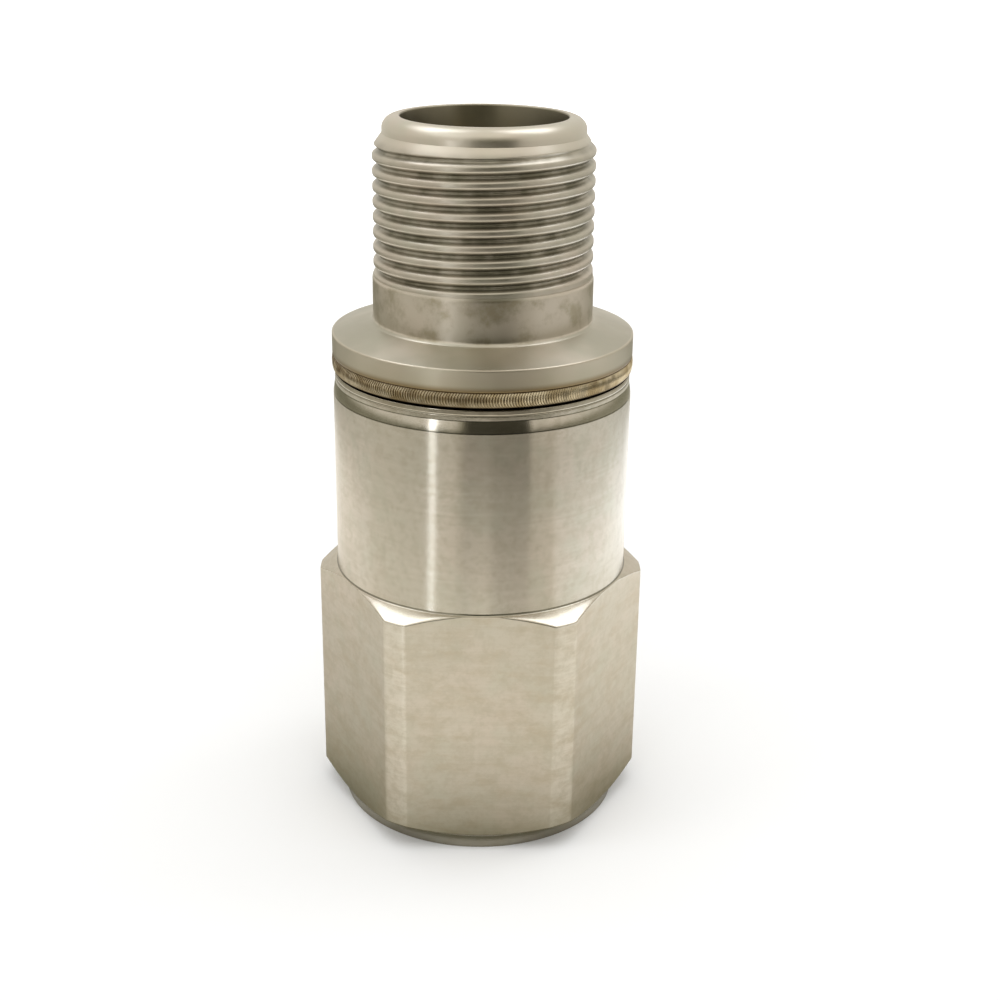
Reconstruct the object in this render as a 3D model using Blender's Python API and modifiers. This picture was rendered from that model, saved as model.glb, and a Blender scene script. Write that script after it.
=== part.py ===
"""Industrial vibration sensor with a hexagon foot and a threaded two-pin connector on top.

All sizes are in metres. The origin is the middle of the mounting face, and +Z runs up through
the connector. The hexagon's corners lie on the X axis, so one flat faces -Y.
"""
import math

import bmesh
import bpy
from mathutils import Matrix

COLLECTION = "vibration_sensor"
CUTTERS = "cutters"

# Clearances
GAP = 0.0002
GLASS_GAP = 0.0001

# Steps round a full turn
OUTER_STEPS = 72
INNER_STEPS = 32
PIN_STEPS = 20
ARC_STEPS = 4
BEAD_STEPS = 6
MERGE = 0.00001

# Hexagon foot
CORNER_CUT = 0.00045
HEX_TOP = 0.0184
FOOT_STEP = 0.0004
FOOT_HEIGHT = 0.00103
FOOT_EDGE = 0.00012
BOTTOM_CHAMFER_ANGLE = math.radians(30)
TOP_CHAMFER_ANGLE = math.radians(32)

# Cylindrical case
CASE_STEP = 0.000125
CASE_LENGTH = 0.0133
CASE_FILLET = 0.0002
SHOULDER_HEIGHT = 0.00085
LIP_STEP = 0.00013
LIP_BAND = 0.00034
LIP_GROOVE = 0.00008

# Mounting hole for an M8 stud
STUD_HOLE_DIAMETER = 0.0068
STUD_HOLE_DEPTH = 0.008
STUD_COUNTERSINK = 0.001
DRILL_POINT_ANGLE = math.radians(59)
WEB = 0.0016

# Cavity
CASE_WALL = 0.001975
CAVITY_CORNER = 0.0004

# Weld bead
BEAD_PROUD = 0.000065
BEAD_HEIGHT = 0.00088

# Connector flange and shank
FLANGE_PROUD = 0.000025
FLANGE_SIDE = 0.00155
FLANGE_EDGE = 0.00008
FLANGE_RISE = 0.00085
SHANK_PROUD = 0.000045
SHANK_FILLET = 0.00012
SHANK_LENGTH = 0.00325
SHANK_BEVEL = 0.0002

# Connector thread 5/8-24, right-handed
THREAD_DIAMETER = 0.01574
THREAD_LENGTH = 0.0089
THREAD_PITCH = 0.0254 / 24
THREAD_DEPTH = 0.0006
THREAD_CREST = 0.00014
THREAD_OVERLAP = 0.0001
THREAD_STEPS = 36
TRIM_STEP = 0.0001
FLANK_ANGLE = math.radians(30)
LEAD_IN_DEPTH = 0.00073
LEAD_IN_ANGLE = math.radians(36)
RIM_HEIGHT = 0.001175
RIM_WALL = 0.001275
RIM_ROUND_WIDTH = 0.00095
RIM_ROUND_HEIGHT = 0.00085
MOUTH_ROUND = 0.00012

# Connector mouth and glass seal
MOUTH_DEPTH = 0.0096
GLASS_THICKNESS = 0.0024
GLASS_LEDGE_WIDTH = 0.00066
GLASS_LEDGE_THICKNESS = 0.0009
KEY_WIDTH = 0.0016
KEY_HEIGHT = 0.0008
KEY_SETBACK = 0.0012

# Contact pins
PIN_PITCH = 0.0048
PIN_DIAMETER = 0.00157
PIN_SHOULDER = 0.00018
PIN_SETBACK = 0.0021
PIN_TAIL = 0.0019

# Spigot under the flange
SPIGOT_WALL = 0.0012
SPIGOT_CHAMFER = 0.0003

# Sensing element
INSULATOR_THICKNESS = 0.0008
PLATE_THICKNESS = 0.001
PLATE_STEP = 0.0006
POST_DIAMETER = 0.003
POST_PROUD = 0.0005
CRYSTAL_WALL = 0.0032
CRYSTAL_THICKNESS = 0.0016
ELECTRODE_THICKNESS = 0.0003
ELECTRODE_TAB_WIDTH = 0.0012
TUBE_WALL = 0.0003
MASS_OVERHANG = 0.001
MASS_ROOM = 0.0014
MASS_HEIGHT = 0.004
MASS_CHAMFER = 0.0004
SPRING_PROUD = 0.0006
SPRING_THICKNESS = 0.0004
SPRING_CONE = 0.0005
NUT_WALL = 0.00105
NUT_HEIGHT = 0.0022

# Shield and sleeve
SLEEVE_WALL = 0.0004
CAN_WALL = 0.0003
CAN_CORNER = 0.0006
CAN_HEADROOM = 0.0004
GROMMET_FLANGE_WIDTH = 0.0007
GROMMET_FLANGE_THICKNESS = 0.0004
GROMMET_ROOM = 0.0018
GROMMET_WALL = 0.00035

# Circuit board
CARRIER_WALL = 0.0005
CARRIER_LEDGE = 0.0012
CARRIER_FLOOR = 0.0012
BOARD_THICKNESS = 0.0008
CHIP_SIZE = (0.0049, 0.0039, 0.0014)
CHIP_PLACE = (0.0, 0.0034)
COUPLING_SIZE = (0.0032, 0.0016, 0.0016)
COUPLING_PLACE = (0.0, -0.005)
FEEDBACK_SIZE = (0.002, 0.00125, 0.001)
FEEDBACK_PLACE = (-0.0012, -0.0022)
RESISTOR_SIZE = (0.002, 0.00125, 0.0006)
RESISTOR_PLACE = (0.0016, -0.0022)
COMPONENT_EDGE = 0.00012

# Leads
LEAD_DIAMETER = 0.0006
SIGNAL_DIAMETER = 0.0005
LEAD_SPREAD = 0.0026
LEAD_POINTS = 9

HALF_FLAT = math.radians(30)

# Radii of the sensing element, from the post outwards to the cavity's wall
POST_RADIUS = POST_DIAMETER / 2
TUBE_BORE = POST_RADIUS + GAP
TUBE_RADIUS = TUBE_BORE + TUBE_WALL
STACK_BORE = TUBE_RADIUS + GAP
CRYSTAL_RADIUS = STACK_BORE + CRYSTAL_WALL
MASS_RADIUS = CRYSTAL_RADIUS + MASS_OVERHANG
SIGNAL_OFFSET = MASS_RADIUS + MASS_ROOM / 2
CAN_BORE = MASS_RADIUS + MASS_ROOM
PLATE_STEP_RADIUS = CAN_BORE - GAP
CAN_RADIUS = CAN_BORE + CAN_WALL
SLEEVE_BORE = CAN_RADIUS + GAP
SLEEVE_RADIUS = SLEEVE_BORE + SLEEVE_WALL
CAVITY_RADIUS = SLEEVE_RADIUS + GAP
NUT_ACROSS_FLATS = 2 * (TUBE_BORE + NUT_WALL)
NUT_CORNER_RADIUS = NUT_ACROSS_FLATS / 2 / math.cos(HALF_FLAT)
SPRING_RADIUS = NUT_CORNER_RADIUS + SPRING_PROUD
GROMMET_OFFSET = NUT_CORNER_RADIUS + GROMMET_ROOM
GROMMET_BORE = SIGNAL_DIAMETER / 2 + GAP
GROMMET_RADIUS = GROMMET_BORE + GROMMET_WALL
CARRIER_RADIUS = CAVITY_RADIUS - GAP
CARRIER_BORE = CARRIER_RADIUS - CARRIER_WALL
BOARD_RADIUS = CARRIER_BORE - GAP

# Radii of the case round the element, which bring the hexagon to 22 mm across its flats
CASE_RADIUS = CAVITY_RADIUS + CASE_WALL
HEX_ACROSS_FLATS = 2 * (CASE_RADIUS + CASE_STEP)
HEX_CORNER_RADIUS = HEX_ACROSS_FLATS / 2 / math.cos(HALF_FLAT) - CORNER_CUT
FOOT_RADIUS = HEX_ACROSS_FLATS / 2 - FOOT_STEP
LIP_RADIUS = CASE_RADIUS - LIP_STEP
BEAD_RADIUS = CASE_RADIUS + BEAD_PROUD
FLANGE_RADIUS = CASE_RADIUS + FLANGE_PROUD
SPIGOT_RADIUS = CAVITY_RADIUS - GAP
SPIGOT_BORE = SPIGOT_RADIUS - SPIGOT_WALL

# Radii of the connector, from the thread inwards
THREAD_RADIUS = THREAD_DIAMETER / 2
ROOT_RADIUS = THREAD_RADIUS - THREAD_DEPTH
SHANK_RADIUS = THREAD_RADIUS + SHANK_PROUD
RIM_RADIUS = THREAD_RADIUS - LEAD_IN_DEPTH
MOUTH_RADIUS = RIM_RADIUS - RIM_WALL
GLASS_RADIUS = MOUTH_RADIUS - GLASS_GAP
LEDGE_RADIUS = MOUTH_RADIUS - GLASS_LEDGE_WIDTH
PIN_RADIUS = PIN_DIAMETER / 2
PIN_NECK_RADIUS = PIN_RADIUS - PIN_SHOULDER

# Levels that follow, from the mounting face up
DRILL_POINT = STUD_HOLE_DIAMETER / 2 / math.tan(DRILL_POINT_ANGLE)
CAVITY_FLOOR = STUD_HOLE_DEPTH + DRILL_POINT + WEB
BOTTOM_CHAMFER_TOP = FOOT_HEIGHT + (HEX_CORNER_RADIUS - FOOT_RADIUS) * math.tan(BOTTOM_CHAMFER_ANGLE)
TOP_CHAMFER_TOP = HEX_TOP + (HEX_CORNER_RADIUS - CASE_RADIUS - CASE_FILLET) * math.tan(TOP_CHAMFER_ANGLE)
CASE_BOTTOM = TOP_CHAMFER_TOP + CASE_FILLET
CASE_TOP = CASE_BOTTOM + CASE_LENGTH
LIP_BOTTOM = CASE_TOP + SHOULDER_HEIGHT
LIP_TOP = LIP_BOTTOM + 2 * LIP_BAND + LIP_GROOVE
BEAD_BOTTOM = LIP_TOP + GAP
FLANGE_BOTTOM = BEAD_BOTTOM + BEAD_HEIGHT + GAP
FLANGE_TOP = FLANGE_BOTTOM + FLANGE_SIDE
SHANK_BOTTOM = FLANGE_TOP + FLANGE_RISE
SHANK_TOP = SHANK_BOTTOM + SHANK_LENGTH
THREAD_TOP = SHANK_TOP + THREAD_LENGTH
RIM_BOTTOM = THREAD_TOP + LEAD_IN_DEPTH / math.tan(LEAD_IN_ANGLE)
RIM_TOP = RIM_BOTTOM + RIM_HEIGHT
GLASS_TOP = RIM_TOP - MOUTH_DEPTH
GLASS_BOTTOM = GLASS_TOP - GLASS_THICKNESS
LEDGE_TOP = GLASS_BOTTOM - GAP
LEDGE_BOTTOM = LEDGE_TOP - GLASS_LEDGE_THICKNESS

# Levels of the stack inside, from the cavity's floor up
INSULATOR_BOTTOM = CAVITY_FLOOR + GAP
PLATE_BOTTOM = INSULATOR_BOTTOM + INSULATOR_THICKNESS + GAP
PLATE_TOP = PLATE_BOTTOM + PLATE_THICKNESS
STEP_TOP = PLATE_TOP + PLATE_STEP
LOWER_CRYSTAL_BOTTOM = STEP_TOP + GAP
ELECTRODE_BOTTOM = LOWER_CRYSTAL_BOTTOM + CRYSTAL_THICKNESS + GAP
ELECTRODE_TOP = ELECTRODE_BOTTOM + ELECTRODE_THICKNESS
UPPER_CRYSTAL_BOTTOM = ELECTRODE_TOP + GAP
MASS_BOTTOM = UPPER_CRYSTAL_BOTTOM + CRYSTAL_THICKNESS + GAP
MASS_TOP = MASS_BOTTOM + MASS_HEIGHT
SPRING_BOTTOM = MASS_TOP + GAP
SPRING_TOP = SPRING_BOTTOM + SPRING_CONE + SPRING_THICKNESS
NUT_BOTTOM = SPRING_TOP + GAP
NUT_TOP = NUT_BOTTOM + NUT_HEIGHT
POST_TOP = NUT_TOP + POST_PROUD
CAN_CEILING = POST_TOP + CAN_HEADROOM
CAN_TOP = CAN_CEILING + CAN_WALL
CARRIER_BOTTOM = CAN_TOP + GAP
CARRIER_SEAT = CARRIER_BOTTOM + CARRIER_FLOOR
BOARD_BOTTOM = CARRIER_SEAT + GAP
BOARD_TOP = BOARD_BOTTOM + BOARD_THICKNESS
CARRIER_TOP = BOARD_TOP + GAP
SPIGOT_BOTTOM = CARRIER_TOP + GAP


def clear_scene():
    for obj in list(bpy.data.objects):
        bpy.data.objects.remove(obj, do_unlink=True)


def collection(name):
    group = bpy.data.collections.new(name)
    bpy.context.scene.collection.children.link(group)
    return group


def principled(name, colour, roughness, metallic=0.0, transmission=0.0):
    mat = bpy.data.materials.new(name)
    mat.use_nodes = True
    shader = mat.node_tree.nodes["Principled BSDF"]
    shader.inputs["Base Color"].default_value = (*colour, 1.0)
    shader.inputs["Roughness"].default_value = roughness
    shader.inputs["Metallic"].default_value = metallic
    shader.inputs["Transmission Weight"].default_value = transmission
    return mat


def add_object(name, mesh, group, mat=None):
    obj = bpy.data.objects.new(name, mesh)
    group.objects.link(obj)
    if mat:
        mesh.materials.append(mat)
    return obj


def arc(centre_r, centre_z, width, start, end, height=None):
    """Points of a round or oval arc in the (radius, height) plane, angles in degrees from outward."""
    height = height or width
    points = []
    for i in range(ARC_STEPS + 1):
        angle = math.radians(start + (end - start) * i / ARC_STEPS)
        points.append((centre_r + width * math.cos(angle), centre_z + height * math.sin(angle)))
    return points


def turned(name, profile, group, mat=None, steps=INNER_STEPS, closed=False, place=(0.0, 0.0)):
    """Turn a profile of (radius, height) points about the vertical axis."""
    mesh = bpy.data.meshes.new(name)
    count = len(profile)
    edges = [(i, i + 1) for i in range(count - 1)]
    if closed:
        edges.append((count - 1, 0))
    mesh.from_pydata([(r, 0.0, z) for r, z in profile], edges, [])
    obj = add_object(name, mesh, group, mat)
    obj.location = (place[0], place[1], 0.0)
    screw = obj.modifiers.new("turn", "SCREW")
    screw.axis = "Z"
    screw.steps = steps
    screw.render_steps = steps
    screw.use_merge_vertices = True
    screw.merge_threshold = MERGE
    screw.use_normal_calculate = False
    return obj


def ring(name, inner, outer, bottom, top, group, mat):
    return turned(name, [(inner, top), (outer, top), (outer, bottom), (inner, bottom)], group, mat, closed=True)


def disc(name, radius, bottom, top, group, mat):
    return turned(name, [(0.0, top), (radius, top), (radius, bottom), (0.0, bottom)], group, mat)


def cutter_block(name, size, centre, group):
    mesh = bpy.data.meshes.new(name)
    work = bmesh.new()
    bmesh.ops.create_cube(work, size=1.0)
    bmesh.ops.scale(work, vec=size, verts=work.verts)
    bmesh.ops.translate(work, vec=centre, verts=work.verts)
    work.to_mesh(mesh)
    work.free()
    return hide_cutter(add_object(name, mesh, group))


def cutter_prism(name, radius, bottom, top, sides, group, place=(0.0, 0.0)):
    """An upright prism with its first corner on the X axis."""
    mesh = bpy.data.meshes.new(name)
    work = bmesh.new()
    bmesh.ops.create_cone(work, cap_ends=True, segments=sides, radius1=radius, radius2=radius,
                          depth=top - bottom)
    bmesh.ops.rotate(work, verts=work.verts, matrix=Matrix.Rotation(math.pi / 2, 3, "Z"))
    bmesh.ops.translate(work, vec=(place[0], place[1], (top + bottom) / 2), verts=work.verts)
    work.to_mesh(mesh)
    work.free()
    return hide_cutter(add_object(name, mesh, group))


def hide_cutter(obj):
    obj.hide_render = True
    obj.display_type = "WIRE"
    return obj


def combine(obj, other, operation):
    boolean = obj.modifiers.new(other.name, "BOOLEAN")
    boolean.operation = operation
    boolean.object = other
    boolean.solver = "EXACT"
    return obj


def hexagon(name, across_flats, bottom, top, group):
    return cutter_prism(name, across_flats / 2 / math.cos(HALF_FLAT), bottom, top, 6, group)


def block(name, size, centre, edge, group, mat):
    """A bevelled block standing on the given centre of its underside."""
    mesh = bpy.data.meshes.new(name)
    work = bmesh.new()
    bmesh.ops.create_cube(work, size=1.0)
    bmesh.ops.scale(work, vec=size, verts=work.verts)
    work.to_mesh(mesh)
    work.free()
    obj = add_object(name, mesh, group, mat)
    obj.location = (centre[0], centre[1], centre[2] + size[2] / 2)
    bevel = obj.modifiers.new("edge", "BEVEL")
    bevel.width = edge
    bevel.segments = 2
    return obj


def wire(name, points, diameter, group, mat):
    """A round wire along a smooth run of points."""
    curve = bpy.data.curves.new(name, "CURVE")
    curve.dimensions = "3D"
    curve.bevel_depth = diameter / 2
    curve.bevel_resolution = 2
    curve.use_fill_caps = True
    spline = curve.splines.new("POLY")
    spline.points.add(len(points) - 1)
    for spot, point in zip(spline.points, points):
        spot.co = (*point, 1.0)
    curve.materials.append(mat)
    obj = bpy.data.objects.new(name, curve)
    group.objects.link(obj)
    return obj


def eased(start, end, count=LEAD_POINTS):
    """Points that leave start and reach end straight along Z, with a smooth shift between."""
    points = []
    for i in range(count):
        t = i / (count - 1)
        shift = t * t * (3 - 2 * t)
        points.append((start[0] + (end[0] - start[0]) * shift,
                       start[1] + (end[1] - start[1]) * shift,
                       start[2] + (end[2] - start[2]) * t))
    return points


def make_materials():
    steel = principled("stainless_steel", (0.50, 0.47, 0.40), 0.32, 1.0)
    return {
        "steel": steel,
        "weld": principled("weld_metal", (0.45, 0.37, 0.24), 0.4, 1.0),
        "glass": principled("seal_glass", (0.05, 0.12, 0.08), 0.15),
        "gold": principled("gold_plate", (0.83, 0.62, 0.26), 0.25, 1.0),
        "alumina": principled("alumina", (0.85, 0.83, 0.78), 0.5),
        "piezo": principled("piezo_ceramic", (0.55, 0.50, 0.40), 0.6),
        "silver": principled("silvered_brass", (0.75, 0.72, 0.65), 0.3, 1.0),
        "tungsten": principled("tungsten_alloy", (0.28, 0.28, 0.29), 0.35, 1.0),
        "spring": principled("spring_steel", (0.35, 0.34, 0.33), 0.3, 1.0),
        "tin": principled("tinned_steel", (0.62, 0.62, 0.60), 0.35, 1.0),
        "plastic": principled("white_plastic", (0.80, 0.79, 0.74), 0.45),
        "rubber": principled("grommet_rubber", (0.03, 0.03, 0.03), 0.7),
        "board": principled("board_laminate", (0.03, 0.18, 0.07), 0.4),
        "chip": principled("chip_resin", (0.02, 0.02, 0.022), 0.5),
        "ceramic": principled("capacitor_ceramic", (0.45, 0.33, 0.20), 0.45),
        "red": principled("red_lead", (0.55, 0.03, 0.02), 0.45),
        "white": principled("white_lead", (0.78, 0.78, 0.76), 0.45),
        "blue": principled("blue_lead", (0.03, 0.08, 0.45), 0.45),
    }


def make_housing(group, cutters, mat):
    """Hexagon bar turned to the case, the shoulder and the lip, then bored from both ends."""
    stud = STUD_HOLE_DIAMETER / 2
    sink = stud + STUD_COUNTERSINK
    groove = LIP_TOP - LIP_BAND
    dip = LIP_GROOVE / 2

    profile = [(0.0, CAVITY_FLOOR)]
    profile += arc(CAVITY_RADIUS - CAVITY_CORNER, CAVITY_FLOOR + CAVITY_CORNER, CAVITY_CORNER, -90, 0)
    profile += [(CAVITY_RADIUS, LIP_TOP), (LIP_RADIUS, LIP_TOP), (LIP_RADIUS, groove)]
    profile += [(LIP_RADIUS - dip, groove - dip), (LIP_RADIUS, groove - LIP_GROOVE), (LIP_RADIUS, LIP_BOTTOM)]
    for i in range(1, ARC_STEPS + 1):
        share = i / ARC_STEPS
        profile.append((LIP_RADIUS + LIP_STEP * share ** 2, LIP_BOTTOM - SHOULDER_HEIGHT * share))
    profile += arc(CASE_RADIUS + CASE_FILLET, CASE_BOTTOM, CASE_FILLET, 180, 270)
    profile += [(HEX_CORNER_RADIUS, HEX_TOP), (HEX_CORNER_RADIUS, BOTTOM_CHAMFER_TOP), (FOOT_RADIUS, FOOT_HEIGHT)]
    profile += [(FOOT_RADIUS, FOOT_EDGE), (FOOT_RADIUS - FOOT_EDGE, 0.0), (sink, 0.0), (stud, STUD_COUNTERSINK)]
    profile += [(stud, STUD_HOLE_DEPTH), (0.0, STUD_HOLE_DEPTH + DRILL_POINT)]

    housing = turned("housing", profile, group, mat, OUTER_STEPS)
    bar = hexagon("hexagon_bar", HEX_ACROSS_FLATS, -WEB, LIP_TOP + WEB, cutters)
    return combine(housing, bar, "INTERSECT")


def make_connector_shell(group, cutters, mat):
    """Flange, shank, threaded tube and rim outside; mouth, glass seat and spigot inside."""
    slope = FLANGE_RISE / (FLANGE_RADIUS - SHANK_RADIUS)

    profile = arc(MOUTH_RADIUS + MOUTH_ROUND, RIM_TOP - MOUTH_ROUND, MOUTH_ROUND, 180, 90)
    profile += arc(RIM_RADIUS - RIM_ROUND_WIDTH, RIM_TOP - RIM_ROUND_HEIGHT, RIM_ROUND_WIDTH, 90, 0,
                   RIM_ROUND_HEIGHT)
    profile += [(RIM_RADIUS, RIM_BOTTOM), (ROOT_RADIUS, lead_in_level(ROOT_RADIUS))]
    profile += [(ROOT_RADIUS, SHANK_TOP), (SHANK_RADIUS - SHANK_BEVEL, SHANK_TOP)]
    profile += [(SHANK_RADIUS, SHANK_TOP - SHANK_BEVEL)]
    profile += [(SHANK_RADIUS, SHANK_BOTTOM + SHANK_FILLET)]
    profile += [(SHANK_RADIUS + SHANK_FILLET, SHANK_BOTTOM - SHANK_FILLET * slope)]
    profile += [(FLANGE_RADIUS - FLANGE_EDGE, FLANGE_TOP + FLANGE_EDGE * slope)]
    profile += [(FLANGE_RADIUS, FLANGE_TOP - FLANGE_EDGE), (FLANGE_RADIUS, FLANGE_BOTTOM)]
    profile += [(SPIGOT_RADIUS, FLANGE_BOTTOM), (SPIGOT_RADIUS, SPIGOT_BOTTOM + SPIGOT_CHAMFER)]
    profile += [(SPIGOT_RADIUS - SPIGOT_CHAMFER, SPIGOT_BOTTOM), (SPIGOT_BORE, SPIGOT_BOTTOM)]
    profile += [(SPIGOT_BORE, LEDGE_BOTTOM - (SPIGOT_BORE - LEDGE_RADIUS)), (LEDGE_RADIUS, LEDGE_BOTTOM)]
    profile += [(LEDGE_RADIUS, LEDGE_TOP), (MOUTH_RADIUS, LEDGE_TOP)]

    shell = turned("connector_shell", profile, group, mat, OUTER_STEPS, closed=True)
    combine(shell, make_thread_ridge(cutters), "UNION")
    key_top = RIM_TOP - KEY_SETBACK
    key_bottom = GLASS_TOP + GAP
    key_outer = (MOUTH_RADIUS + RIM_RADIUS) / 2
    key_inner = MOUTH_RADIUS - KEY_HEIGHT
    key = cutter_block("polarising_key", (KEY_WIDTH, key_outer - key_inner, key_top - key_bottom),
                       (0.0, -(key_outer + key_inner) / 2, (key_top + key_bottom) / 2), cutters)
    return combine(shell, key, "UNION")


def lead_in_level(radius):
    """Height at which the lead-in chamfer reaches a radius."""
    return THREAD_TOP + (THREAD_RADIUS - radius) / math.tan(LEAD_IN_ANGLE)


def make_thread_ridge(cutters):
    """The helical ridge, from inside the shank up through the lead-in chamfer, which trims it."""
    foot = ROOT_RADIUS - THREAD_OVERLAP
    half_crest = THREAD_CREST / 2
    half_foot = half_crest + (THREAD_RADIUS - foot) * math.tan(FLANK_ANGLE)
    start = SHANK_TOP - half_foot - SHANK_BEVEL
    turns = math.ceil((lead_in_level(foot) + half_foot - start) / THREAD_PITCH)
    section = [(foot, start + half_foot), (THREAD_RADIUS, start + half_crest), (THREAD_RADIUS, start - half_crest),
               (foot, start - half_foot)]
    sweep = turned("thread_sweep", section, cutters, steps=THREAD_STEPS, closed=True)
    sweep.modifiers["turn"].screw_offset = THREAD_PITCH
    sweep.modifiers["turn"].iterations = turns
    mesh = bpy.data.meshes.new_from_object(sweep.evaluated_get(bpy.context.evaluated_depsgraph_get()))
    bpy.data.objects.remove(sweep)
    work = bmesh.new()
    work.from_mesh(mesh)
    bmesh.ops.holes_fill(work, edges=[edge for edge in work.edges if edge.is_boundary])
    bmesh.ops.recalc_face_normals(work, faces=work.faces)
    work.to_mesh(mesh)
    work.free()
    ridge = hide_cutter(add_object("thread_ridge", mesh, cutters))
    wide = THREAD_RADIUS + THREAD_OVERLAP
    above = RIM_TOP + THREAD_PITCH
    envelope = turned("thread_envelope", [(0.0, above), (RIM_RADIUS, above), (RIM_RADIUS, RIM_BOTTOM + TRIM_STEP),
                                          (wide, lead_in_level(wide) + TRIM_STEP), (wide, SHANK_BOTTOM),
                                          (0.0, SHANK_BOTTOM)], cutters, steps=THREAD_STEPS)
    return combine(ridge, hide_cutter(envelope), "INTERSECT")


def make_weld_bead(group, mat):
    """A low crowned ring in the joint between the lip and the flange."""
    inner = SPIGOT_RADIUS + GAP
    crown = BEAD_RADIUS - LIP_RADIUS
    middle = BEAD_BOTTOM + BEAD_HEIGHT / 2
    profile = [(inner, BEAD_BOTTOM), (inner, BEAD_BOTTOM + BEAD_HEIGHT)]
    for i in range(BEAD_STEPS + 1):
        angle = math.pi * (0.5 - i / BEAD_STEPS)
        profile.append((LIP_RADIUS + crown * math.cos(angle), middle + BEAD_HEIGHT / 2 * math.sin(angle)))
    return turned("weld_bead", profile, group, mat, OUTER_STEPS, closed=True)


def make_glass_seal(group, cutters, mat):
    profile = [(0.0, GLASS_TOP), (GLASS_RADIUS - GLASS_GAP, GLASS_TOP), (GLASS_RADIUS, GLASS_TOP - GLASS_GAP),
               (GLASS_RADIUS, GLASS_BOTTOM), (0.0, GLASS_BOTTOM)]
    seal = turned("glass_seal", profile, group, mat)
    for side, x in pin_places():
        hole = cutter_prism("pin_hole_" + side, PIN_NECK_RADIUS + GLASS_GAP, GLASS_BOTTOM - GAP, GLASS_TOP + GAP,
                            PIN_STEPS, cutters, (x, 0.0))
        combine(seal, hole, "DIFFERENCE")
    return seal


def pin_places():
    return (("a", -PIN_PITCH / 2), ("b", PIN_PITCH / 2))


def make_contact_pins(group, mat):
    shoulder = GLASS_TOP + GAP
    bottom = GLASS_BOTTOM - PIN_TAIL
    profile = arc(0.0, RIM_TOP - PIN_SETBACK - PIN_RADIUS, PIN_RADIUS, 90, 0)
    profile += [(PIN_RADIUS, shoulder), (PIN_NECK_RADIUS, shoulder), (PIN_NECK_RADIUS, bottom), (0.0, bottom)]
    for side, x in pin_places():
        turned("contact_pin_" + side, profile, group, mat, PIN_STEPS, place=(x, 0.0))


def make_element(group, cutters, mats):
    """The stack of plate, crystals, electrode and mass, clamped on a post by spring and nut."""
    disc("base_insulator", CAN_RADIUS, INSULATOR_BOTTOM, INSULATOR_BOTTOM + INSULATOR_THICKNESS, group,
         mats["alumina"])
    turned("element_post", [(0.0, POST_TOP), (POST_RADIUS - TUBE_WALL, POST_TOP), (POST_RADIUS, POST_TOP - TUBE_WALL),
                            (POST_RADIUS, STEP_TOP), (PLATE_STEP_RADIUS, STEP_TOP), (PLATE_STEP_RADIUS, PLATE_TOP),
                            (CAN_RADIUS, PLATE_TOP), (CAN_RADIUS, PLATE_BOTTOM), (0.0, PLATE_BOTTOM)],
           group, mats["steel"])
    for name, bottom in (("lower_crystal", LOWER_CRYSTAL_BOTTOM), ("upper_crystal", UPPER_CRYSTAL_BOTTOM)):
        ring(name, STACK_BORE, CRYSTAL_RADIUS, bottom, bottom + CRYSTAL_THICKNESS, group, mats["piezo"])

    electrode = ring("signal_electrode", STACK_BORE, CRYSTAL_RADIUS, ELECTRODE_BOTTOM, ELECTRODE_TOP, group,
                     mats["silver"])
    tab_start = (STACK_BORE + CRYSTAL_RADIUS) / 2
    tab_end = SIGNAL_OFFSET + SIGNAL_DIAMETER
    tab = cutter_block("electrode_tab", (tab_end - tab_start, ELECTRODE_TAB_WIDTH, ELECTRODE_THICKNESS),
                       ((tab_end + tab_start) / 2, 0.0, (ELECTRODE_BOTTOM + ELECTRODE_TOP) / 2), cutters)
    combine(electrode, tab, "UNION")

    ring("centring_tube", TUBE_BORE, TUBE_RADIUS, LOWER_CRYSTAL_BOTTOM, MASS_TOP, group, mats["plastic"])
    shoulder = MASS_RADIUS - MASS_CHAMFER
    turned("seismic_mass", [(STACK_BORE, MASS_TOP), (shoulder, MASS_TOP), (MASS_RADIUS, MASS_TOP - MASS_CHAMFER),
                            (MASS_RADIUS, MASS_BOTTOM + MASS_CHAMFER), (shoulder, MASS_BOTTOM),
                            (STACK_BORE, MASS_BOTTOM)], group, mats["tungsten"], closed=True)
    turned("spring_washer", [(TUBE_BORE, SPRING_TOP), (SPRING_RADIUS, SPRING_BOTTOM + SPRING_THICKNESS),
                             (SPRING_RADIUS, SPRING_BOTTOM), (TUBE_BORE, SPRING_BOTTOM + SPRING_CONE)],
           group, mats["spring"], closed=True)

    nut_flat = NUT_ACROSS_FLATS / 2
    drop = (NUT_CORNER_RADIUS - nut_flat) * math.tan(BOTTOM_CHAMFER_ANGLE)
    nut = turned("preload_nut", [(TUBE_BORE, NUT_TOP), (nut_flat, NUT_TOP), (NUT_CORNER_RADIUS, NUT_TOP - drop),
                                 (NUT_CORNER_RADIUS, NUT_BOTTOM), (TUBE_BORE, NUT_BOTTOM)], group, mats["steel"],
                 closed=True)
    prism = hexagon("nut_hexagon", NUT_ACROSS_FLATS, NUT_BOTTOM - GAP, NUT_TOP + GAP, cutters)
    combine(nut, prism, "INTERSECT")


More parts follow.
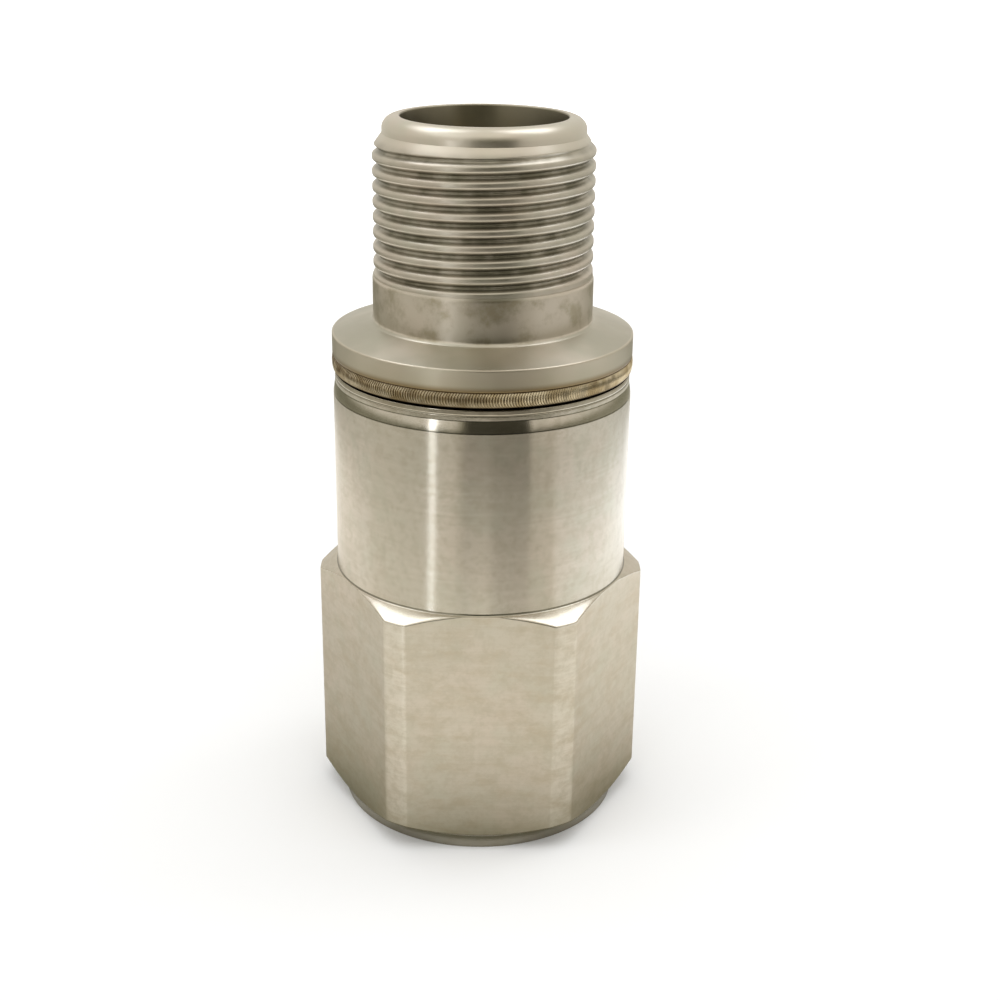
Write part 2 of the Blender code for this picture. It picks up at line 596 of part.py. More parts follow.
def make_shield(group, cutters, mats):
    """A drawn can over the element, with a rubber grommet in its top and a sleeve round it."""
    corner = CAN_RADIUS - CAN_CORNER
    corner_level = CAN_TOP - CAN_CORNER
    can_bottom = PLATE_TOP + GAP
    profile = [(0.0, CAN_TOP)]
    profile += arc(corner, corner_level, CAN_CORNER, 90, 0)
    profile += [(CAN_RADIUS, can_bottom), (CAN_BORE, can_bottom)]
    profile += arc(corner, corner_level, CAN_CORNER - CAN_WALL, 0, 90)
    profile += [(0.0, CAN_CEILING)]
    can = turned("shield_can", profile, group, mats["tin"])
    hole = cutter_prism("lead_hole", GROMMET_RADIUS + GAP, CAN_CEILING - CAN_WALL, CAN_TOP + CAN_WALL, PIN_STEPS,
                        cutters, (GROMMET_OFFSET, 0.0))
    combine(can, hole, "DIFFERENCE")

    flange = GROMMET_RADIUS + GROMMET_FLANGE_WIDTH
    flange_bottom = CAN_TOP + GAP
    flange_top = flange_bottom + GROMMET_FLANGE_THICKNESS
    turned("lead_grommet", [(GROMMET_BORE, flange_top), (flange, flange_top), (flange, flange_bottom),
                            (GROMMET_RADIUS, flange_bottom), (GROMMET_RADIUS, CAN_CEILING),
                            (GROMMET_BORE, CAN_CEILING)], group, mats["rubber"], PIN_STEPS, closed=True,
           place=(GROMMET_OFFSET, 0.0))
    ring("isolation_sleeve", SLEEVE_BORE, SLEEVE_RADIUS, INSULATOR_BOTTOM + CAVITY_CORNER, CAN_TOP, group,
         mats["plastic"])


def make_board(group, mats):
    """The round board in its carrier, with the parts of the amplifier on top."""
    ledge = CARRIER_BORE - CARRIER_LEDGE
    turned("board_carrier", [(CARRIER_BORE, CARRIER_TOP), (CARRIER_RADIUS, CARRIER_TOP),
                             (CARRIER_RADIUS, CARRIER_BOTTOM), (ledge, CARRIER_BOTTOM), (ledge, CARRIER_SEAT),
                             (CARRIER_BORE, CARRIER_SEAT)], group, mats["plastic"], closed=True)
    disc("circuit_board", BOARD_RADIUS, BOARD_BOTTOM, BOARD_TOP, group, mats["board"])
    top = BOARD_TOP + GAP
    parts = (("amplifier_chip", CHIP_SIZE, CHIP_PLACE, "chip"),
             ("coupling_capacitor", COUPLING_SIZE, COUPLING_PLACE, "ceramic"),
             ("feedback_capacitor", FEEDBACK_SIZE, FEEDBACK_PLACE, "ceramic"),
             ("bias_resistor", RESISTOR_SIZE, RESISTOR_PLACE, "chip"))
    for name, size, place, finish in parts:
        block(name, size, (*place, top), COMPONENT_EDGE, group, mats[finish])


def make_leads(group, mats):
    """One lead from the electrode to the board, and one from the board to each contact pin."""
    start = (SIGNAL_OFFSET, 0.0, ELECTRODE_TOP + GAP)
    bend = (SIGNAL_OFFSET, 0.0, SPRING_BOTTOM)
    hole = (GROMMET_OFFSET, 0.0, CAN_CEILING - GAP)
    end = (GROMMET_OFFSET, 0.0, BOARD_BOTTOM - GAP)
    wire("signal_lead", [start] + eased(bend, hole) + [end], SIGNAL_DIAMETER, group, mats["white"])
    for side, x in pin_places():
        pad = x + math.copysign(LEAD_SPREAD, x)
        bottom = (pad, 0.0, BOARD_TOP + GAP)
        top = (x, 0.0, GLASS_BOTTOM - PIN_TAIL - GAP)
        wire("output_lead_" + side, eased(bottom, top), LEAD_DIAMETER, group,
             mats["red" if side == "a" else "blue"])


def main():
    clear_scene()
    parts = collection(COLLECTION)
    cutters = collection(CUTTERS)
    mats = make_materials()
    make_housing(parts, cutters, mats["steel"])
    make_connector_shell(parts, cutters, mats["steel"])
    make_weld_bead(parts, mats["weld"])
    make_glass_seal(parts, cutters, mats["glass"])
    make_contact_pins(parts, mats["gold"])
    make_element(parts, cutters, mats)
    make_shield(parts, cutters, mats)
    make_board(parts, mats)
    make_leads(parts, mats)


main()
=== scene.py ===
"""Looks of the vibration sensor: fine metal pieces, materials, floor, lights and camera.

The frame's own axes are used throughout: metres, the origin in the middle of the mounting
face, +Z up through the connector, and one flat of the hexagon facing -Y.
"""
import math

import bmesh
import bpy
from mathutils import Matrix, Vector


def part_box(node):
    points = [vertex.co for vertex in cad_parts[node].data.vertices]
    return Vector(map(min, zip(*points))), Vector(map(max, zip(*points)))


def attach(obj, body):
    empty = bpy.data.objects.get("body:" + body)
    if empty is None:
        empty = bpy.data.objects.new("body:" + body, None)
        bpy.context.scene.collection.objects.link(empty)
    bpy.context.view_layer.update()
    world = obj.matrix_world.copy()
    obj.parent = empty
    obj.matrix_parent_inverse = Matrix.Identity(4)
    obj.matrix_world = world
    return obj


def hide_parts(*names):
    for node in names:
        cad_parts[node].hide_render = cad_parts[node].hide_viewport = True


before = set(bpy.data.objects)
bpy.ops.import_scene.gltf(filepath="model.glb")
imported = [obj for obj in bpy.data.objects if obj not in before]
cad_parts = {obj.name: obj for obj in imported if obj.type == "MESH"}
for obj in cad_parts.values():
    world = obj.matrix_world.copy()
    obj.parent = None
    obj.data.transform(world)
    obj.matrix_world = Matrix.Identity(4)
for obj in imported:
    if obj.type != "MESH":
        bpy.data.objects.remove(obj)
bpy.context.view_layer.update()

# Sizes read from the frame
HOUSING_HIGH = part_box("housing")[1]
SHELL_LOW, SHELL_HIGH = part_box("connector_shell")
BEAD_LOW, BEAD_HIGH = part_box("weld_bead")
GLASS_LOW, GLASS_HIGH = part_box("glass_seal")
INSULATOR_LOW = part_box("base_insulator")[0]

APOTHEM = HOUSING_HIGH[1]
HEX_CORNER_RADIUS = HOUSING_HIGH[0]
LIP_TOP = HOUSING_HIGH[2]
FLANGE_RADIUS = SHELL_HIGH[0]
RIM_TOP = SHELL_HIGH[2]
SPIGOT_BOTTOM = SHELL_LOW[2]
BEAD_RADIUS = BEAD_HIGH[0]
GLASS_TOP = GLASS_HIGH[2]
GLASS_BOTTOM = GLASS_LOW[2]

# Steps of the fine pieces: round a full turn, on arcs, and in rows of a thread per pitch
TURN_STEPS = 240
HEX_STEPS = 360
ARC_STEPS = 5
RIM_STEPS = 10
THREAD_ROWS = 20
STUD_ROWS = 12

# Edges: rounded corners of an outline, and the angle beyond which an edge is drawn sharp
EDGE = 0.00008
FINE_EDGE = 0.00004
CORNER_POINTS = 4
CORNER_SHARE = 0.3
SUPPORT_REACH = 1.6
SHARP_ANGLE = 32
HOUSING_SHARP_ANGLE = 24
WELD_DISTANCE = 0.0000004

# Ripples of the weld bead
BEAD_RIPPLES = 350
STEPS_PER_RIPPLE = 8
BEAD_ROWS = 14
BEAD_FULLNESS = 0.5
RIPPLE_DEPTH = 0.00011
RIPPLE_BEND = 1.3
RIPPLE_FULLNESS = 0.4

# Housing, as in the CAD
GAP = 0.0002
FOOT_STEP = 0.0004
FOOT_HEIGHT = 0.00103
BOTTOM_CHAMFER = math.tan(math.radians(30))
TOP_CHAMFER = math.tan(math.radians(32))
HEX_TOP = 0.0184
CASE_STEP = 0.000125
CASE_FILLET = 0.0002
SHOULDER_HEIGHT = 0.00085
LIP_STEP = 0.00013
LIP_BAND = 0.00034
LIP_GROOVE = 0.00008
CASE_WALL = 0.001975
CAVITY_CORNER = 0.0004
FOOT_RADIUS = APOTHEM - FOOT_STEP
CASE_RADIUS = APOTHEM - CASE_STEP
LIP_RADIUS = CASE_RADIUS - LIP_STEP
LIP_BOTTOM = LIP_TOP - 2 * LIP_BAND - LIP_GROOVE
CASE_TOP = LIP_BOTTOM - SHOULDER_HEIGHT
CASE_BOTTOM = HEX_TOP + (HEX_CORNER_RADIUS - CASE_RADIUS - CASE_FILLET) * TOP_CHAMFER + CASE_FILLET
CAVITY_RADIUS = CASE_RADIUS - CASE_WALL
CAVITY_FLOOR = INSULATOR_LOW[2] - GAP

# Stud hole with an M8 thread
STUD_MINOR = 0.0034
STUD_DEPTH = 0.008
STUD_SINK = 0.001
STUD_PITCH = 0.00125
STUD_THREAD_DEPTH = 0.00055
STUD_THREAD_LENGTH = 0.0066
STUD_FLANK = 30
STUD_CREST = STUD_PITCH / 8
DRILL_POINT = STUD_MINOR / math.tan(math.radians(59))

# Connector shell, as in the CAD apart from a larger fillet and a shallower thread with domed crests
FLANGE_BOTTOM = BEAD_HIGH[2] + GAP
FLANGE_SIDE = 0.00155
FLANGE_RISE = 0.00085
SHANK_FILLET = 0.00016
SHANK_PROUD = 0.000045
SHANK_LENGTH = 0.00325
SHANK_BEVEL = 0.0002
THREAD_RADIUS = 0.00787
THREAD_PITCH = 0.0254 / 24
THREAD_LENGTH = 0.0089
THREAD_DEPTH = 0.00042
THREAD_FLANK = 33
THREAD_CREST = 0.00034
THREAD_DOME = 450.0
GROOVE_BEND = 0.28
CONE_BLEND = 0.00016
THREAD_START = 0.735
LEAD_IN_DEPTH = 0.00073
LEAD_IN = math.tan(math.radians(36))
RIM_WALL = 0.001275
RIM_ROUND_WIDTH = 0.00095
RIM_ROUND_HEIGHT = 0.00085
MOUTH_ROUND = 0.00012
SPIGOT_WALL = 0.0012
SPIGOT_CHAMFER = 0.0003
LEDGE_WIDTH = 0.00066
LEDGE_THICKNESS = 0.0009
KEY_WIDTH = 0.0016
KEY_HEIGHT = 0.0008
KEY_SETBACK = 0.0012
KEY_EDGE_STEPS = 3
FLANGE_TOP = FLANGE_BOTTOM + FLANGE_SIDE
SHANK_BOTTOM = FLANGE_TOP + FLANGE_RISE
SHANK_TOP = SHANK_BOTTOM + SHANK_LENGTH
THREAD_TOP = SHANK_TOP + THREAD_LENGTH
SHANK_RADIUS = THREAD_RADIUS + SHANK_PROUD
RIM_RADIUS = THREAD_RADIUS - LEAD_IN_DEPTH
RIM_BOTTOM = THREAD_TOP + LEAD_IN_DEPTH / LEAD_IN
MOUTH_RADIUS = RIM_RADIUS - RIM_WALL
SPIGOT_RADIUS = CAVITY_RADIUS - GAP
SPIGOT_BORE = SPIGOT_RADIUS - SPIGOT_WALL
LEDGE_RADIUS = MOUTH_RADIUS - LEDGE_WIDTH
LEDGE_TOP = GLASS_BOTTOM - GAP
LEDGE_BOTTOM = LEDGE_TOP - LEDGE_THICKNESS

# Camera, fitted to the photograph
CAMERA_PLACE = Vector((0.0, -0.11192, 0.0670))
CAMERA_YAW = math.radians(0.724)
CAMERA_PITCH = math.radians(21.133)
CAMERA_ROLL = math.radians(0.74)
CAMERA_LENS = 57.15
CAMERA_SENSOR = 36.0
CAMERA_CLIP = 0.005

# Colours, as the surfaces would look under plain white light apart from the painted shade, highlight and
# reflection noted below, and how much of some is laid on
STEEL = (0.57, 0.535, 0.455)
STEEL_PINK = (0.60, 0.54, 0.46)
STEEL_GREEN = (0.53, 0.52, 0.43)
HEAT_TINT = (0.20, 0.14, 0.06)
# Painted reflection of the dark brown surround on the flange's side
FLANGE_REFLECTED_BROWN = (0.37, 0.33, 0.23)
FLANGE_OLIVE = (0.36, 0.35, 0.28)
# Dark colour laid as painted shade in creases, at the foot and in the stud hole, and as grime and
# painted shade in the thread's roots
CREASE_SHADE_AND_DIRT = (0.13, 0.12, 0.08)
# Painted shade colour of the shell's inner faces
BORE_SHADE = (0.20, 0.18, 0.12)
HEX_BROWN = (0.50, 0.44, 0.34)
# Paler colour of the hexagon's corners, a painted highlight
CORNER_HIGHLIGHT = (0.74, 0.70, 0.62)
CASE_SHADE = (0.46, 0.42, 0.33)
SHANK_STAIN = (0.36, 0.31, 0.22)
WELD_GOLD = (0.42, 0.33, 0.19)
WELD_PALE = (0.72, 0.63, 0.45)
# Brown of the weld's blotches, also laid as painted shade in its ripple valleys
WELD_BROWN_AND_SHADE = (0.07, 0.045, 0.02)
GLASS_DARK = (0.022, 0.05, 0.034)
GLASS_GREEN = (0.04, 0.075, 0.05)
GLASS_BUBBLE = (0.14, 0.19, 0.15)
FLOOR_WHITE = (0.82, 0.82, 0.81)
FLOOR_DRIFT = 0.99
# Amount of painted highlight on the hexagon's corners
CORNER_HIGHLIGHT_AMOUNT = 0.45
# Amount of painted shade on the foot
FOOT_SHADE = 0.6
# Amount of painted shade in the stud hole
HOLE_SHADE = 0.8
BORE_SHADE_AMOUNT = 0.85
LIP_HEAT = 0.5
FLANGE_HEAT = 0.9
HEAT_HEIGHT = 0.0005

# Painted shade lines round the case, in its creases, as level, width and amount, and the full part of
# their width
LINE_CORE = 0.4
CREASE_SHADE_LINES = (
    (LIP_TOP - LIP_BAND - LIP_GROOVE / 2, 0.00006, 0.7),
    (LIP_BOTTOM, 0.00004, 0.35),
    (CASE_TOP, 0.00005, 0.75),
    (CASE_BOTTOM - CASE_FILLET / 2, 0.00008, 0.75),
)

# Roughness, brushing and the depth of the fine grain
CASE_ROUGHNESS = (0.20, 0.26)
FLAT_ROUGHER = 0.16
LIP_SMOOTHER = 0.09
CONNECTOR_ROUGHNESS = (0.28, 0.42)
WELD_ROUGHNESS = (0.3, 0.45)
GLASS_ROUGHNESS = (0.06, 0.16)
FLOOR_ROUGHNESS = 0.9
FLOOR_SPECULAR = 0.1
CASE_BRUSHING = 0.95
CONNECTOR_BRUSHING = 0.4
BRUSHING_TURN = 0.25
CASE_GRAIN = 0.0000060
MILLED_GRAIN = 0.0000030
CONNECTOR_GRAIN = 0.0000015
WELD_GRAIN = 0.000003
BUBBLE_DEPTH = 0.00001

# Studio: lamps as name, azimuth, elevation, distance, width, height and radiance
LAMPS = (
    ("top_softbox", 0.0, 88.0, 0.45, 0.56, 0.56, 1.7),
    ("front_softbox", 0.0, 60.0, 0.55, 0.40, 0.16, 1.2),
    ("left_softbox", -70.0, 35.0, 0.5, 0.20, 0.26, 1.5),
    ("right_softbox", 112.0, 30.0, 0.45, 0.20, 0.25, 1.6),
)
WORLD_LEVEL = 0.5

# The floor's own glow for the camera and for reflections, and the radii over which it rises
FLOOR_SIZE = 4.0
FLOOR_GLOW = (0.12, 0.9)
GLOW_REACH = (0.05, 0.4)

# What the metal reflects is a dome that stands on the white sheet, seen from about EYE_LEVEL
STUDIO_RADIUS = 0.6
EYE_LEVEL = 0.035
DOME_STEPS = 96
DOME_RINGS = 16

# The sheet's brightness by azimuth in degrees, near the sensor and beyond FAR_REACH
NEAR_SHEET = ((-180, 0.95), (-120, 0.80), (-75, 0.98), (-35, 1.20), (0, 1.24), (35, 1.16),
              (75, 1.20), (120, 1.12), (180, 1.0))
FAR_SHEET = ((-180, 1.45), (-140, 1.32), (-95, 1.48), (-84, 1.30), (-57, 1.15), (-40, 1.12),
             (-30, 1.22), (-10, 1.22), (4, 1.20), (9, 1.0), (25, 0.94), (52, 1.06), (55, 1.56),
             (80, 1.80), (112, 1.90), (140, 1.75), (180, 1.5))
FAR_REACH = (0.050, 0.064)

# What is left of it by radius, with a painted shadow of the sensor close round it and a fall past the
# sheet's edge, and the dimmer part round the photographer
SHEET_SHADOW_AND_FADE = ((0.0, 0.12), (0.012, 0.2), (0.0165, 0.54), (0.020, 0.68), (0.023, 0.80),
              (0.026, 0.87), (0.031, 0.93), (0.040, 1.0), (0.102, 1.0), (0.109, 0.55),
              (0.114, 0.27), (0.122, 0.20), (0.15, 0.17), (0.3, 0.14), (0.6, 0.10))
DARK_MIDDLE = 12
DIM_AMOUNT = 0.72
DIM_SPAN = (22.0, 95.0)
DIM_REACH = (0.104, 0.112)

# The room's brightness by elevation, in front and at the sides, and where it joins the sheet
FRONT_WALL = ((-10, 0.05), (0, 0.06), (8, 0.12), (18, 0.24), (35, 0.60), (50, 1.2), (70, 1.1),
              (90, 0.95))
SIDE_WALL = ((-10, 0.85), (0, 0.85), (50, 0.9), (65, 1.0), (90, 0.95))
SIDE_SPAN = (22.0, 34.0)
WALL_HEIGHTS = (2 * FOOT_STEP, 0.02)
WALL_REACH = (0.17, 0.30)

# Lit patches as azimuth, elevation, half width, half height and added brightness
BRIGHT_PATCHES = ((-124, 62, 36, 16, 2.0), (124, 62, 36, 16, 2.0), (-52, 46, 34, 14, 0.6),
                  (-36, -32, 3, 10.5, 0.9), (-36, -4, 3, 7, 2.8), (38, -4, 3, 6, 0.5))
PATCH_CORE = 0.8

# Tints of dark, plain and very bright parts, and the brightness at which each gives way
DARK_TINT = (1.0, 0.955, 0.67)
SHEET_TINT = (1.0, 0.955, 0.86)
WHITE_TINT = (0.98, 1.0, 1.04)
SHEET_LEVELS = (0.1, 0.8)
WHITE_LEVELS = (1.1, 1.9)


def arc(centre_r, centre_z, width, height, start, end, steps=ARC_STEPS):
    """Points of an oval arc in the (radius, height) plane, angles in degrees from outward."""
    points = []
    for i in range(steps + 1):
        angle = math.radians(start + (end - start) * i / steps)
        points.append((centre_r + width * math.cos(angle), centre_z + height * math.sin(angle)))
    return points


def rounded(corner, before, after, size):
    """A corner of an outline as a small curve, with a support point on each side of it."""
    corner = Vector(corner)
    ends = []
    for other in (before, after):
        way = Vector(other) - corner
        reach = min(size, way.length * CORNER_SHARE)
        ends.append((corner + way.normalized() * reach,
                     corner + way.normalized() * reach * SUPPORT_REACH))
    out = [ends[0][1]]
    for i in range(CORNER_POINTS):
        t = i / (CORNER_POINTS - 1)
        out.append(ends[0][0] * (1 - t) ** 2 + corner * 2 * t * (1 - t) + ends[1][0] * t ** 2)
    out.append(ends[1][1])
    return [tuple(p) for p in out]


def softened(points, size=EDGE):
    """An outline with each inner corner rounded."""
    out = [points[0]]
    for i in range(1, len(points) - 1):
        out += rounded(points[i], points[i - 1], points[i + 1], size)
    out.append(points[-1])
    return out


def spun(name, outline_at, steps, sharp=SHARP_ANGLE):
    """A mesh whose outline of (radius, height) points may change as it goes round the Z axis."""
    verts = []
    faces = []
    for k in range(steps + 1):
        turn = k / steps
        angle = 2 * math.pi * turn
        outline = outline_at(turn)
        for r, z in outline:
            verts.append((r * math.cos(angle), r * math.sin(angle), z))
    count = len(outline)
    for k in range(steps):
        for i in range(count - 1):
            a = k * count + i
            faces.append((a, a + count, a + count + 1, a + 1))
    mesh = bpy.data.meshes.new(name)
    mesh.from_pydata(verts, [], faces)
    work = bmesh.new()
    work.from_mesh(mesh)
    bmesh.ops.remove_doubles(work, verts=work.verts, dist=WELD_DISTANCE)
    bmesh.ops.recalc_face_normals(work, faces=work.faces)
    work.to_mesh(mesh)
    work.free()
    mesh.shade_smooth()
    mesh.set_sharp_from_angle(angle=math.radians(sharp))
    obj = bpy.data.objects.new(name, mesh)
    bpy.context.scene.collection.objects.link(obj)
    return obj


def soft_limit(value, low, high, blend):
    """Value held between low and high, with a smooth bend of the given width at each end."""
    h = max(0.0, 1 - abs(value - low) / blend)
    value = max(value, low) + h * h * blend / 4
    h = max(0.0, 1 - abs(value - high) / blend)
    return min(value, high) - h * h * blend / 4


def groove_depth(phase, pitch, depth, flank, crest, dome=0.0):
    """Depth of a thread's groove at a phase of 0 to 1 from its crest, which may be domed."""
    away = min(phase, 1 - phase) * pitch
    wall = (away - crest / 2) / math.tan(math.radians(flank))
    return soft_limit(wall, dome * away * away, depth, depth * GROOVE_BEND)


def eased(value):
    """Smooth step from 0 to 1."""
    value = min(max(value, 0.0), 1.0)
    return value * value * (3 - 2 * value)


def threaded(turn, bottom, top, pitch, radius_at, rows_per_pitch):
    """Rows of a helical thread from top to bottom, sheared so that each follows the helix."""
    rows = []
    count = math.ceil((top - bottom) / pitch + 1) * rows_per_pitch
    for j in range(count + 1):
        z = top + pitch * (turn - j / rows_per_pitch)
        z = min(max(z, bottom), top)
        rows.append((radius_at(z, (z / pitch - turn) % 1.0), z))
    return rows


def hexagon_radius(turn):
    """Distance from the axis to the hexagon's flat at this part of the turn."""
    from_flat = (turn * 6 + 0.5) % 1.0 - 0.5
    return APOTHEM / math.cos((abs(from_flat) - 0.5) * math.pi / 3)


def housing_outline(turn):
    """From the cavity's floor up its wall, over the lip, and down the outside into the stud hole."""
    flat = min(hexagon_radius(turn), HEX_CORNER_RADIUS)
    chamfer_top = CASE_BOTTOM - CASE_FILLET
    fillet_end = CASE_RADIUS + CASE_FILLET
    flat_top = chamfer_top - max(flat - fillet_end, 0.0) * TOP_CHAMFER
    flat_bottom = FOOT_HEIGHT + (flat - FOOT_RADIUS) * BOTTOM_CHAMFER
    fillet = min(CASE_FILLET, flat - CASE_RADIUS)
    groove = LIP_TOP - LIP_BAND
    dip = LIP_GROOVE / 2

    outer = [(CAVITY_RADIUS, LIP_TOP), (LIP_RADIUS, LIP_TOP), (LIP_RADIUS, groove),
             (LIP_RADIUS - dip, groove - dip), (LIP_RADIUS, groove - LIP_GROOVE),
             (LIP_RADIUS, LIP_BOTTOM), (CASE_RADIUS, CASE_TOP)]
    upper = softened(outer, FINE_EDGE)
    lower = arc(CASE_RADIUS + fillet, CASE_BOTTOM, fillet, CASE_FILLET, 180, 270)
    corners = [lower[-1], (flat, flat_top), (flat, flat_bottom), (FOOT_RADIUS, FOOT_HEIGHT),
               (FOOT_RADIUS, 0.0), (STUD_MINOR + STUD_SINK, 0.0), (STUD_MINOR, STUD_SINK)]
    floor = arc(CAVITY_RADIUS - CAVITY_CORNER, CAVITY_FLOOR + CAVITY_CORNER,
                CAVITY_CORNER, CAVITY_CORNER, -90, 0)

    def radius_at(z, phase):
        fade = eased((z - STUD_SINK) / STUD_PITCH * 4) * eased((STUD_THREAD_LENGTH - z) / STUD_PITCH)
        depth = groove_depth(phase, STUD_PITCH, STUD_THREAD_DEPTH, STUD_FLANK, STUD_CREST)
        return STUD_MINOR + fade * depth

    thread = threaded(turn, STUD_SINK, STUD_THREAD_LENGTH, STUD_PITCH, radius_at, STUD_ROWS)
    thread.reverse()
    hole = thread + [(STUD_MINOR, STUD_DEPTH), (0.0, STUD_DEPTH + DRILL_POINT)]
    return [(0.0, CAVITY_FLOOR)] + floor + upper + lower[:-1] + softened(corners) + hole


def shell_outline(turn):
    """From the mouth's edge over the rim, down the thread to the spigot, and up inside."""
    slope = FLANGE_RISE / (FLANGE_RADIUS - SHANK_RADIUS)
    rim = arc(MOUTH_RADIUS + MOUTH_ROUND, RIM_TOP - MOUTH_ROUND, MOUTH_ROUND, MOUTH_ROUND, 180, 90)
    rim += arc(RIM_RADIUS - RIM_ROUND_WIDTH, RIM_TOP - RIM_ROUND_HEIGHT,
               RIM_ROUND_WIDTH, RIM_ROUND_HEIGHT, 90, 0, RIM_STEPS)

    def radius_at(z, phase):
        cone = THREAD_RADIUS - max(0.0, z - THREAD_TOP) * LEAD_IN
        fade = eased((z - SHANK_TOP) / THREAD_PITCH * 2)
        depth = groove_depth((phase + THREAD_START) % 1.0, THREAD_PITCH, THREAD_DEPTH,
                             THREAD_FLANK, THREAD_CREST, THREAD_DOME)
        return soft_limit(THREAD_RADIUS - fade * depth, 0.0, cone, CONE_BLEND)

    thread = threaded(turn, SHANK_TOP, RIM_BOTTOM, THREAD_PITCH, radius_at, THREAD_ROWS)
    outer = [(THREAD_RADIUS, SHANK_TOP), (SHANK_RADIUS, SHANK_TOP - SHANK_BEVEL),
             (SHANK_RADIUS, SHANK_BOTTOM + SHANK_FILLET),
             (SHANK_RADIUS + SHANK_FILLET, SHANK_BOTTOM - slope * SHANK_FILLET),
             (FLANGE_RADIUS, FLANGE_TOP), (FLANGE_RADIUS, FLANGE_BOTTOM), (SPIGOT_RADIUS, FLANGE_BOTTOM)]
    inner = [(SPIGOT_RADIUS, SPIGOT_BOTTOM + SPIGOT_CHAMFER),
             (SPIGOT_RADIUS - SPIGOT_CHAMFER, SPIGOT_BOTTOM), (SPIGOT_BORE, SPIGOT_BOTTOM),
             (SPIGOT_BORE, LEDGE_BOTTOM - (SPIGOT_BORE - LEDGE_RADIUS)),
             (LEDGE_RADIUS, LEDGE_BOTTOM), (LEDGE_RADIUS, LEDGE_TOP), (MOUTH_RADIUS, LEDGE_TOP)]
    return rim + [(RIM_RADIUS, RIM_BOTTOM)] + thread + softened(outer) + inner + [rim[0]]


def bead_outline(turn):
    """A crowned ring up to the flange, with the fine crescent ripples of a travelling weld pool."""
    inner = SPIGOT_RADIUS + GAP
    crown = BEAD_RADIUS - LIP_RADIUS
    low = BEAD_LOW[2]
    high = FLANGE_BOTTOM - WELD_DISTANCE
    half = (high - low) / 2
    points = [(inner, low), (inner, high)]
    for i in range(BEAD_ROWS + 1):
        angle = math.pi * (0.5 - i / BEAD_ROWS)
        across = math.sin(angle)
        radius = LIP_RADIUS
        if 0 < i < BEAD_ROWS:
            wave = abs(math.sin(math.pi * (BEAD_RIPPLES * turn - RIPPLE_BEND * across * across)))
            radius += crown * math.cos(angle) ** BEAD_FULLNESS
            radius -= RIPPLE_DEPTH * (1 - wave) * math.cos(angle) ** RIPPLE_FULLNESS
        points.append((radius, low + half + half * across))
    return points + [points[0]]


def make_key(shell):
    """Add the polarising key to the shell's mesh, sunk into the wall of the mouth."""
    key_top = RIM_TOP - KEY_SETBACK
    key_bottom = GLASS_TOP + GAP
    outer = (MOUTH_RADIUS + RIM_RADIUS) / 2
    inner = MOUTH_RADIUS - KEY_HEIGHT
    work = bmesh.new()
    bmesh.ops.create_cube(work, size=1.0)
    bmesh.ops.scale(work, vec=(KEY_WIDTH, outer - inner, key_top - key_bottom), verts=work.verts)
    middle = (0.0, -(outer + inner) / 2, (key_top + key_bottom) / 2)
    bmesh.ops.translate(work, vec=middle, verts=work.verts)
    bmesh.ops.bevel(work, geom=work.edges[:], offset=EDGE, segments=KEY_EDGE_STEPS, affect="EDGES")
    work.from_mesh(shell.data)
    work.to_mesh(shell.data)
    work.free()


